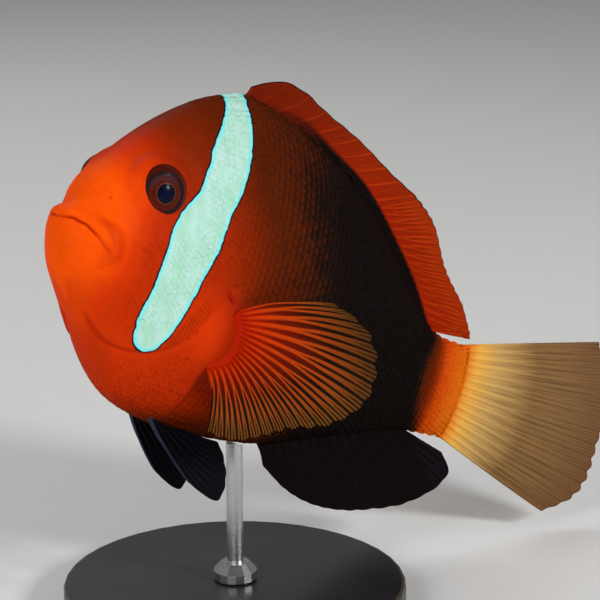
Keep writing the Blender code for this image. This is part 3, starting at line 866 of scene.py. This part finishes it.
def scale_roots(x_from, x_to, sides):
    """Places of scales in rows along the body: the root's place on the straight fish, as x and
    angle, where the coat covers it."""
    places, x, shift = [], x_from, 0.0
    while x < x_to:
        angle, runs = outline(x, 400)
        middle = np.interp(math.pi / 2, angle, runs)
        pitch = float(SCALE_WIDE(x))
        first = math.ceil((0.25 * pitch - middle) / pitch - shift)
        last = math.floor((runs[-1] - 0.25 * pitch - middle) / pitch - shift)
        steps = (np.arange(first, last + 1) + shift) * pitch + middle
        found = np.interp(steps, runs, angle)
        places += [np.stack([np.full(len(found), x), side * found], -1) for side in sides]
        x += float(SCALE_LONG(x))
        shift = 0.5 - shift
    places = np.vstack(places)
    return places[covering(body_point(*places.T)) > 0]


def scale_frames(places):
    """Straight and world place, outward way and backward way of the skin at (x, angle) places."""
    x, angle = places.T

    def at(dx, da):
        return body_point(np.clip(x + dx, 0.002, 0.9995), angle + da)

    straight = at(0, 0)
    world = to_world(straight)
    back = unit(to_world(at(0.002, 0)) - to_world(at(-0.002, 0)))
    around = to_world(at(0, 0.02)) - to_world(at(0, -0.02))
    return straight, world, unit(np.cross(back, around)), back


def covering(straight):
    """How large the scales are at their roots: 0 where the head is bare, on the snout, lips and
    chin, round the eyes, along the gill covers' edges and over the pectoral pads, and rising
    from there to 1. It is read a little behind each root, at the scale's middle."""
    middle = straight.copy()
    middle[:, 0] += 0.4 * SCALE_LONG(straight[:, 0])
    x, z = middle[:, 0], middle[:, 2]
    snout = 0.088 + 0.35 * np.clip(z - 0.02, 0, 1) + 0.4 * np.clip(-z - 0.06, 0, 1)
    gap, height, _ = GILL_EDGE.near(middle)
    room = np.min([
        (np.hypot(x - EYE_AT[0], z - EYE_AT[1]) - 0.060) * IN_MM, (x - snout) * IN_MM * 0.6,
        gap - np.where(height > 0, 2.4, 1.1), SLIT.near(middle)[0] - 1.5,
        PAD.near(middle)[0] - 3.0,
    ], axis=0)
    return np.where(room > 0, 0.78 + 0.22 * ease(room, 0.0, 1.6), 0.0)


def add_coat(name, slot, x_from, x_to, relief, tree, inputs, sides=tuple(SIDES)):
    """One piece of the coat, from x_from to x_to on some sides."""
    places = scale_roots(x_from, x_to, sides)
    straight, world, out, back = scale_frames(places)
    x = straight[:, 0]
    behind = straight + np.outer(0.6 * SCALE_LONG(x), (1, 0, 0))
    rise = np.maximum(folds(straight)[0], folds(behind)[0])
    grown = covering(straight)
    roots = world + out * ((rise - 0.02 - 0.22 * (1 - grown)) * MM - COAT)[:, None]
    piece = new_shape(name, roots)
    long, wide = SCALE_LONG(x) * grown, SCALE_WIDE(x) * grown
    size = xyz(long, wide, relief * long) * STANDARD_LENGTH
    root = xyz(0.01 + 0.98 * x, 0.5 + places[:, 1] / math.tau, 0)
    tint = np.random.default_rng(len(name) + len(places)).random(len(places))
    store(piece, out=out, back=back, size=size, root=root, tint=tint)
    laid = piece.modifiers.new("coat", "NODES")
    laid.node_group = tree
    for identifier, value in inputs.items():
        laid[identifier] = value
    bpy.context.view_layer.update()
    evaluated = piece.evaluated_get(bpy.context.evaluated_depsgraph_get())
    made = bpy.data.meshes.new_from_object(evaluated)
    piece.modifiers.clear()
    piece.data = made
    made.name = name
    root, patch = (fetch(made.attributes[key].data, "vector") for key in ("root", "patch"))
    unwrap(made, "OFBake", root + patch * BAKE_PATCH)
    mark(piece)
    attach(piece, "root")


def add_coats():
    """The coat's four pieces. relief is a scale's height for its length."""
    template = scale_template()
    tree, sockets = coat_tree()
    given = {"Scale shape": template, "Pitch": math.radians(1.5),
             "Unevenness": math.radians(2.0), "Seed": 7, "Finish": coat_finish()}
    coat = tree, {sockets[name]: value for name, value in given.items()}
    add_coat("head_scales", "head_skin", 0.07, 0.30, 0.068, *coat)
    for side, word in SIDES.items():
        add_coat(f"{word}_flank_scales", "trunk_skin", 0.30, 0.86, 0.110, *coat, (side,))
    add_coat("tail_stalk_scales", "tail_stalk_skin", 0.86, 0.992, 0.14, *coat)
    bpy.data.objects.remove(template)


# ---- fins ----
SINK = 0.016  # how far the fins' roots lie under the skin
EARLY_SPLIT = (0.22, 0.60), (0.48, 0.95)  # where the rays' first and second branching runs
LATE_SPLIT = (0.28, 0.70), (0.52, 1.0)
ALL_RAYS = (0.24, 0.24, 0, 1)  # a ray's width at first and at last, and the rays between


def fin(name, place, rays, finish, nodes, columns, rows, ray_half, web_half, ripple, notch,
        split=EARLY_SPLIT, thick=ALL_RAYS, root_half=0.5, soft_from=0, rays_from=(-0.2, -0.1)):
    """A fin as one closed sheet: place(u, s) is the middle surface on the straight fish, u
    counting the rays and s running from the root to the margin. Rays stand out on both faces."""
    u = np.linspace(0, rays - 1, (rays - 1) * columns + 1)
    s, u = np.meshgrid(np.linspace(0, 1, rows) ** 0.9, u, indexing="ij")
    off = u - np.round(u)
    cut = notch * ease(np.abs(off) * 2, 0.1, 1.0) * (0.75 + 0.25 * np.sin(7.1 * np.floor(u)))
    middle = to_world(place(u, s * (1 - cut)))

    def facing():
        return unit(np.cross(np.gradient(middle, axis=1), np.gradient(middle, axis=0)))

    depth, turns, phase = ripple
    wave = depth * np.sin(u * turns + phase + 2.2 * s) * s**1.4
    middle = middle + facing() * (wave * MM)[..., None]
    width = mix(*thick[:2], ease(u, *thick[2:])) * mix(1.0, 0.38, ease(s, 0.15, 1.0))
    ray = hump(off, width) * ease(s, *rays_from)
    first, second = (apart * ease(s, *span) for apart, span in zip((0.23, 0.115), split))
    branches = [a * first + b * second for a in (-1, 1) for b in (-1, 1)]
    branched = np.max([hump(off - at, width * 0.48 + 0.016) for at in branches], axis=0)
    ray = np.where(u >= soft_from, mix(ray, branched, ease(s, 0.3, 0.55)), ray)
    half = web_half + ray_half * mix(1.0, 0.30, ease(s, 0.1, 1.0)) * ray
    half += root_half * (1 - ease(s, 0.0, 0.16))
    half *= mix(1.0, 0.35, ease(s, 0.94, 1.0)) * MM
    shift = facing() * half[..., None]
    points = np.vstack([(middle + shift).reshape(-1, 3), (middle - shift).reshape(-1, 3)])
    sheet, rim = grid_faces(*u.shape), grid_rim(*u.shape)
    after = np.roll(rim, -1)
    edge = np.stack([after, rim, rim + u.size, after + u.size], -1)
    faces = np.vstack([sheet, sheet[:, ::-1] + u.size, edge])
    piece = new_piece("rayed_" + name, points, faces, finish)
    mark(piece)
    length = np.linalg.norm(middle[-1] - middle[0], axis=-1) / MM
    measures = {"ray": ray, "reach": s, "order": u, "edge": (1 - s) * length}
    store(piece, **{key: np.tile(values.ravel(), 2) for key, values in measures.items()})
    unwrap(piece.data, "Rays", np.tile(np.stack([u / 10, s], -1).reshape(-1, 2), (2, 1)))
    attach(piece, "root")
    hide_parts(*nodes)


def on_midline(root, tip, bow):
    """The middle surface of a fin on the midline, from its rays' feet and tips by ray number."""

    def place(u, s):
        (root_x, root_z), (tip_x, tip_z) = root(u), tip(u)
        return xyz(mix(root_x, tip_x, s) + bow * swell(s), 0, mix(root_z, tip_z, s))

    return place


DORSAL_EDGE = curve(
    (300, 318), (330, 337), (380, 357), (420, 360), (500, 350), (600, 338), (700, 314),
    (780, 294), (830, 266), (880, 214), (940, 168), (1000, 118),
)
SPINES, SOFT_RAYS = 10, 17


def dorsal_place():
    last_spine, last_ray = SPINES - 1, SPINES + SOFT_RAYS - 1
    feet = [0, last_spine, SPINES, last_ray], [0.278, 0.640, 0.656, 0.880]
    lean = smooth_curve((0, 0.024), (0.12, 0.066), (0.35, 0.100), (1, 0.125))
    soft_tip = smooth_curve(
        (9, 0.765), (12, 0.818), (18, 0.905), (22, 0.962), (24, 0.981), (25.2, 0.984), (26, 0.966)
    )
    drop = smooth_curve((21, 0), (24, 0.016), (25.2, 0.020), (26, 0))

    def root(u):
        x = np.interp(u, *feet)
        return x, BACK(x) - SINK

    def tip(u):
        x = np.where(u < last_spine, root(u)[0] + lean(u / last_spine), soft_tip(u))
        corner = mix(0.122, 0.104, (u - 25.2) / 0.8)
        return x, np.where(u > 25.2, corner, DORSAL_EDGE(x) - drop(u))

    return on_midline(root, tip, 0.006)


def anal_place():
    tip_x = curve(
        (0, 620), (300, 742), (600, 882), (780, 974), (900, 1022), (960, 1026), (1000, 1000)
    )
    tip_z = curve(
        (0, -234), (150, -256), (360, -265), (600, -243), (780, -200), (900, -150), (960, -122),
        (1000, -100),
    )

    def root(u):
        x = mix(0.575, 0.880, u / 15)
        return x, BELLY(x) + SINK

    return on_midline(root, lambda u: (tip_x(u / 15), tip_z(u / 15)), 0.005)


def tail_place():
    length = curve((0, 300), (150, 330), (500, 335), (850, 325), (1000, 280))
    lift = smooth_curve((0, 20), (0.5, 2), (1, -14))

    def place(u, s):
        t = u / 14
        angle, run = np.radians(lift(t)), length(t) * s
        root_z = mix(BACK(1.0) - 0.006, BELLY(1.0) + 0.006, t)
        return xyz(0.968 + run * np.cos(angle), 0, root_z + run * np.sin(angle))

    return place


PECTORAL_FLARE = {LEFT: math.radians(42), RIGHT: math.radians(24)}
PECTORAL_SPREAD = {LEFT: (32, -95), RIGHT: (32, -62)}
PECTORAL_PAD = 0.10  # the share of each ray that lies on the fleshy pad


def pectoral_place(side):
    reach = curve(
        (0, 178), (120, 230), (280, 238), (450, 201), (600, 164), (750, 158), (880, 162),
        (1000, 160),
    )
    foot_x = curve((0, 318), (250, 340), (500, 353), (750, 348), (1000, 312))
    foot_z = curve((0, -34), (250, -54), (500, -82), (750, -110), (1000, -134))
    (root_x, root_z), (pad_x, pad_z) = PECTORAL_AT, PAD_MIDDLE
    root_y = float(flank(root_x, root_z))

    def spread(distance, angle, out):
        back, up = distance * np.cos(angle), distance * np.sin(angle)
        opened = np.where(back > 0, PECTORAL_FLARE[side], 0.0)
        y = root_y + back * np.sin(opened) - 0.2 * up + out
        return xyz(root_x + back * np.cos(opened), side * y, root_z + up)

    def hinge(t, share, out):
        x, z = mix(pad_x, foot_x(t), share), mix(pad_z, foot_z(t), share)
        return xyz(x, side * (flank(x, z) + out), z)

    def place(u, s):
        t = u / 17
        leave = np.radians(mix(80, -112, t))
        arrive = np.radians(mix(*PECTORAL_SPREAD[side], t))
        inner = np.clip(s / PECTORAL_PAD, 0, 1)
        outer = np.clip((s - PECTORAL_PAD) / (1 - PECTORAL_PAD), 0, 1)[..., None]
        foot = hinge(t, mix(0.50, 1.0, inner), 0.0040 - 0.014 * (1 - inner) ** 1.5)
        lean = mix(0.58, 0.72, ease(t, 0.0, 0.3))
        turn = spread(0.52 * reach(t), mix(leave, arrive, lean), 0.008)
        tip = spread(reach(t), arrive, 0.004)
        return (1 - outer) ** 2 * foot + 2 * outer * (1 - outer) * turn + outer**2 * tip

    return place


PELVIC_SPLAY = {LEFT: math.radians(11), RIGHT: math.radians(4)}


def pelvic_place(side):
    length = curve((0, 140), (200, 200), (400, 192), (700, 155), (1000, 115))

    def place(u, s):
        t = u / 5
        x, y = mix(0.288, 0.334, t), mix(0.019, 0.016, t)
        down, run = np.radians(mix(43, 10, t) - 8 * s), length(t) * s
        y = side * (y + run * math.sin(PELVIC_SPLAY[side]))
        return xyz(x + run * np.cos(down), y, BELLY(x) + SINK - run * np.sin(down))

    return place


def on_rays(f, across, along):
    """A place on a fin, stretched by how often it comes again across and along the rays."""
    return f.stretched(f.node("UVMap", uv_map="Rays")["UV"], across, along, 1.0)


def fin_finish(name, rays, webs, roughness=0.42, web_end=0.80, root=None, dusk=None, margin=None,
               lead_sheen=None):
    """Rays and webs, each from one colour at the root to another at the margin, with streaks
    along them. The other colours are for the root, for dusky patches, for the margin's line and
    for a painted sheen along the leading ray."""
    f = Finish(name)
    reach, order = f.number("reach"), f.number("order")
    streak = f.noise(on_rays(f, 60.0, 2.2), 1.0, 4.0, 0.6)
    fine = f.noise(on_rays(f, 260.0, 5.0), 1.0, 3.0, 0.6)
    wander = f.plus(reach, f.swing(streak, 0.25))
    ray = f.over(*rays, wander, 0.15, 0.95)
    web = f.over(*webs, wander, 0.08, web_end)
    colour = f.over(web, ray, f.plus(f.number("ray"), f.swing(fine, 0.40)), 0.29, 0.68)
    if root:
        colour = f.over(colour, root, reach, 0.06, 0.30, 0.9, 0.0)
    if dusk:
        grain = f.noise(on_rays(f, 90.0, 1.2), 1.0, 4.0, 0.7)
        colour = f.over(colour, dusk, grain, 0.30, 0.60, 0.55, 0.0)
        colour = f.over(colour, dusk, f.plus(order, streak), 1.5, 7.5, 0.80, 0.0)
    if margin:
        line = f.span(f.number("edge"), 0.16, 0.36, 1.0, 0.0)
        colour = f.mix(f.times(line, f.span(order, 9, 15, 1.0, 0.3)), colour, margin)
    # A painted sheen of dark blue along the leading ray.
    if lead_sheen:
        colour = f.over(colour, lead_sheen, order, 0.07, 0.20, 0.7, 0.0)
    colour = f.over(colour, BLACK, f.number("black"), 0.25, 0.75)
    waves = {"Vector": on_rays(f, 0.4, 9.0), "Scale": 1.0, "Distortion": 1.5}
    joints = f.node("TexWave", waves, bands_direction="Y")["Fac"]
    normal = f.bump(fine, 0.00008, 0.6, Normal=f.bump(joints, 0.00003, 0.35))
    return f.set(Base_Color=colour, Roughness=roughness, Normal=normal, Specular_IOR_Level=0.015)


def tail_finish():
    """Orange where it leaves the stalk, then cream, with dark broken lines between the rays."""
    f = Finish("tail_fin")
    streak = f.noise(on_rays(f, 70.0, 1.4), 1.0, 4.0, 0.65)
    fine = f.noise(on_rays(f, 210.0, 2.2), 1.0, 4.0, 0.65)
    wander = f.plus(f.number("reach"), f.swing(streak, 0.08))
    ground = f.ramp(
        wander,
        (0.0, (0.66, 0.090, 0.003)),
        (0.07, (0.80, 0.170, 0.003)),
        (0.16, (0.85, 0.430, 0.068)),
        (0.30, (0.59, 0.360, 0.115)),
        (0.55, (0.245, 0.132, 0.043)),
        (1.0, (0.150, 0.068, 0.024)),
    )
    dark = f.span(f.plus(fine, f.times(f.number("ray"), 0.14)), 0.38, 0.58, 1.0, 0.0)
    dark = f.times(dark, f.span(wander, 0.10, 0.45, 0.15, 0.85))
    colour = f.mix(dark, ground, (0.062, 0.025, 0.009))
    normal = f.bump(fine, 0.00010, 0.7)
    return f.set(Base_Color=colour, Roughness=0.45, Normal=normal, Specular_IOR_Level=0.06)


def add_fins():
    red = fin_finish(
        "dorsal_fin", ((0.46, 0.024, 0.001), (0.42, 0.040, 0.002)),
        ((0.34, 0.012, 0.001), (0.28, 0.018, 0.001)), margin=(0.010, 0.004, 0.004),
        dusk=(0.120, 0.008, 0.001),
    )
    pectoral = fin_finish(
        "pectoral_fin", ((0.60, 0.038, 0.001), (0.140, 0.047, 0.007)),
        ((0.27, 0.008, 0.001), (0.010, 0.005, 0.002)), web_end=0.68, root=(0.44, 0.014, 0.001),
    )
    black = fin_finish(
        "black_fin", ((0.010, 0.007, 0.010), (0.007, 0.005, 0.008)),
        ((0.005, 0.003, 0.004), (0.005, 0.003, 0.004)), roughness=0.45,
    )
    pelvic = fin_finish(
        "pelvic_fin", ((0.009, 0.008, 0.012), (0.007, 0.006, 0.009)),
        ((0.004, 0.003, 0.005), (0.004, 0.003, 0.005)), lead_sheen=(0.030, 0.038, 0.070),
    )
    fin("dorsal_fin", dorsal_place(), SPINES + SOFT_RAYS, red,
        ("dorsal_fin_spines", "dorsal_fin_rays"), columns=12, rows=40, ray_half=0.22,
        web_half=0.12, ripple=(0.30, 0.45, 0.3), notch=0.02, root_half=0.7,
        thick=(0.10, 0.22, SPINES - 1.5, SPINES), soft_from=SPINES - 0.5)
    fin("anal_fin", anal_place(), 16, black, ("anal_fin",), columns=12, rows=36,
        ray_half=0.22, web_half=0.10, ripple=(0.30, 0.5, 1.0), notch=0.012)
    fin("tail_fin", tail_place(), 15, tail_finish(), ("tail_fin",), columns=18,
        rows=64, ray_half=0.24, web_half=0.10, ripple=(0.45, 0.55, 2.0), notch=0.015,
        root_half=0.45, thick=(0.22, 0.22, 0, 1))
    for side, word in SIDES.items():
        name = f"pectoral_fin_{word}"
        fin(name, pectoral_place(side), 18, pectoral, (name,), columns=16, rows=64,
            ray_half=0.28, web_half=0.08, ripple=(0.18, 0.6, 0.5 + side), notch=0.028,
            split=LATE_SPLIT, root_half=0.12, thick=(0.36, 0.28, 2, 9), rays_from=(0.05, 0.22))
        name = f"pelvic_fin_{word}"
        fin(name, pelvic_place(side), 6, pelvic, (name,), columns=20, rows=36,
            ray_half=0.30, web_half=0.10, ripple=(0.25, 0.9, side), notch=0.012)


# ---- eyes ----
def turned(name, profile, side, finish, segments=72):
    """A shape turned about the pupil's way out from (radius, height) points in millimetres."""
    middle, way = eye_axis(side, PUPIL_LOOKS)
    middle = middle + eye_axis(side)[1] * (BALL_TOP - BALL) * MM
    turn = np.array(Vector(way).to_track_quat("Z", "Y").to_matrix())
    angle = np.linspace(0, math.tau, segments, endpoint=False)
    radius, height = np.array(profile[1:-1]).T[..., None]
    rings = xyz(radius * np.cos(angle), radius * np.sin(angle), height).reshape(-1, 3)
    points = np.vstack([rings, [[0, 0, profile[0][1]], [0, 0, profile[-1][1]]]])
    faces = tube_faces(len(profile) - 2, segments)
    piece = new_piece(name, points * MM @ turn.T + middle, faces, finish)
    x, y, _ = points.T
    store(piece, radius=np.hypot(x, y), spoke=xyz(x, y, 0), top=y)
    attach(piece, "root")
    return piece


WET = {"Coat_Weight": 0.12, "Coat_Roughness": 0.11, "Coat_IOR": 1.38}


def iris_finish():
    f = Finish("iris")
    cloud = f.noise(f.own("spoke")["Vector"], 1.6, 5.0, 0.65)
    at = f.plus(f.math("DIVIDE", f.number("radius"), 4.0), f.swing(cloud, 0.05))
    colour = f.ramp(
        at,
        (0.0, (0.003, 0.003, 0.010)),
        (0.315, (0.006, 0.003, 0.006)),
        (0.340, (0.125, 0.036, 0.009)),
        (0.375, (0.055, 0.007, 0.003)),
        (0.45, (0.075, 0.005, 0.001)),
        (0.53, (0.095, 0.008, 0.003)),
        (0.58, (0.034, 0.006, 0.006)),
        (0.66, (0.012, 0.005, 0.008)),
        (0.72, (0.030, 0.007, 0.004)),
        (0.78, (0.060, 0.006, 0.001)),
    )
    # A painted sheen, a greyish purple, over the upper part of the iris.
    above = f.times(f.span(f.number("top"), 0.4, 1.6, 0.0, 0.60), f.span(at, 0.40, 0.46))
    above = f.times(above, f.span(at, 0.66, 0.58))
    return f.set(Base_Color=f.mix(above, colour, (0.050, 0.020, 0.026)), Roughness=0.35,
                 Normal=f.bump(cloud, 0.00008, 0.4), Specular_IOR_Level=0.02, **WET)


def pupil_finish():
    f = Finish("pupil")
    fleck = f.noise(f.place(), 900, 2.0)
    colour = f.over((0.001, 0.0015, 0.008), (0.002, 0.004, 0.020), fleck, 0.3, 0.7)
    return f.set(Base_Color=colour, Roughness=0.35, Specular_IOR_Level=0.02, **WET)


PUPIL_RADIUS = 1.22


def cap(reach, count):
    """(radius, height) points over the eyeball from its front out to reach."""
    return [(float(r), math.sqrt(BALL**2 - r * r)) for r in np.linspace(0, reach, count)]


def add_eyes():
    iris, pupil = iris_finish(), pupil_finish()
    bowl = [(r, h - 0.06 - 0.26 * float(1 - ease(r, 2.35, 2.75))) for r, h in cap(4.0, 56)]
    dome = [
        (r, h - 0.30 + 0.05 * math.sqrt(max(0, 1 - (r / PUPIL_RADIUS) ** 2)))
        for r, h in cap(PUPIL_RADIUS, 18)
    ]
    for side, word in SIDES.items():
        ball = [*bowl, (3.6, 0.2), (2.0, -0.6), (0.0, -0.8)]
        ball = turned(f"eye_{word}_iris", ball, side, iris)
        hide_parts(f"eye_{word}")
        lens = [*dome, (1.1, BALL - 0.7), (0.0, BALL - 0.8)]
        turned(f"eye_{word}_pupil", lens, side, pupil)


# ---- the stand ----
def black_paint():
    f = Finish("black_paint")
    haze = f.noise(f.place(), 60, 3.0)
    return f.set(
        Base_Color=f.over((0.012, 0.012, 0.013), (0.020, 0.020, 0.022), haze, 0.3, 0.7),
        Roughness=f.span(haze, 0.3, 0.7, 0.30, 0.42),
        Normal=f.bump(f.noise(f.place(), 1800, 4.0), 0.00003, 0.35),
    )


def brushed_steel():
    f = Finish("brushed_steel")
    lines = f.noise(f.stretched(f.place(), 1.0, 1.0, 90.0), 120, 4.0)
    return f.set(
        Base_Color=f.mix(lines, (0.42, 0.42, 0.43), (0.62, 0.62, 0.63)), Metallic=1.0,
        Roughness=f.span(lines, 0.2, 0.8, 0.22, 0.38), Normal=f.bump(lines, 0.00002, 0.3),
    )


def dress_stand():
    for node, finish in (("stand_base", black_paint()), ("stand_rod", brushed_steel())):
        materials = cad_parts[node].data.materials
        materials.clear()
        materials.append(finish)


# ---- floor, light and camera ----
FLOOR_REACH = 3.0


def stage():
    f = Finish("floor")
    paper = f.mix(f.noise(f.place(), 300, 3.0), (0.74, 0.74, 0.73), (0.78, 0.78, 0.77))
    finish = f.set(Base_Color=paper, Roughness=0.9)
    corners = FLOOR_REACH * np.array([(-1, -1, 0), (1, -1, 0), (1, 1, 0), (-1, 1, 0)])
    floor = new_piece("floor", corners, np.array([[0, 1, 2, 3]]), finish)
    world = bpy.data.worlds.new("studio")
    world.use_nodes = True
    light = world.node_tree.nodes["Background"].inputs
    light["Color"].default_value = (0.97, 0.96, 0.96, 1.0)
    light["Strength"].default_value = 0.24
    bpy.context.scene.world = world
    bpy.context.scene.view_settings.view_transform = "Standard"


AIM = Vector((-9.06, -3.70, 44.74)) * MM
CAMERA_AZIMUTH, CAMERA_ELEVATION = math.radians(-48.5975), math.radians(14.3036)
CAMERA_DISTANCE, LENS, SENSOR = 0.31, 129.3, 36
# Each softbox's place, size and power.
SOFTBOXES = {
    "snout": ((-0.52, -0.06, 0.26), 0.22, 1.43),
    "flank": ((0.092, -0.500, 0.272), 0.11, 2.1),
    "back": ((0.10, 0.42, 0.55), 0.40, 1.1),
}


def camera_and_light():
    a, e = CAMERA_AZIMUTH, CAMERA_ELEVATION
    away = Vector((math.sin(a) * math.cos(e), -math.cos(a) * math.cos(e), math.sin(e)))
    camera = new_object("camera", bpy.data.cameras.new("camera"))
    camera.data.lens, camera.data.sensor_width = LENS, SENSOR
    camera.data.clip_start, camera.data.clip_end = 0.01, 20
    camera.location = AIM + away * CAMERA_DISTANCE
    camera.rotation_euler = away.to_track_quat("Z", "Y").to_euler()
    bpy.context.scene.camera = camera
    for name, (place, size, power) in SOFTBOXES.items():
        lamp = bpy.data.lights.new(name, "AREA")
        lamp.shape = "RECTANGLE"
        lamp.size = lamp.size_y = size
        lamp.energy = power
        softbox = new_object(name, lamp)
        softbox.location = place
        softbox.rotation_euler = (AIM - Vector(place)).to_track_quat("-Z", "Y").to_euler()


def main():
    camera_and_light()
    stage()
    add_skin(skin_finish())
    add_coats()
    add_fins()
    add_eyes()
    dress_stand()


main()
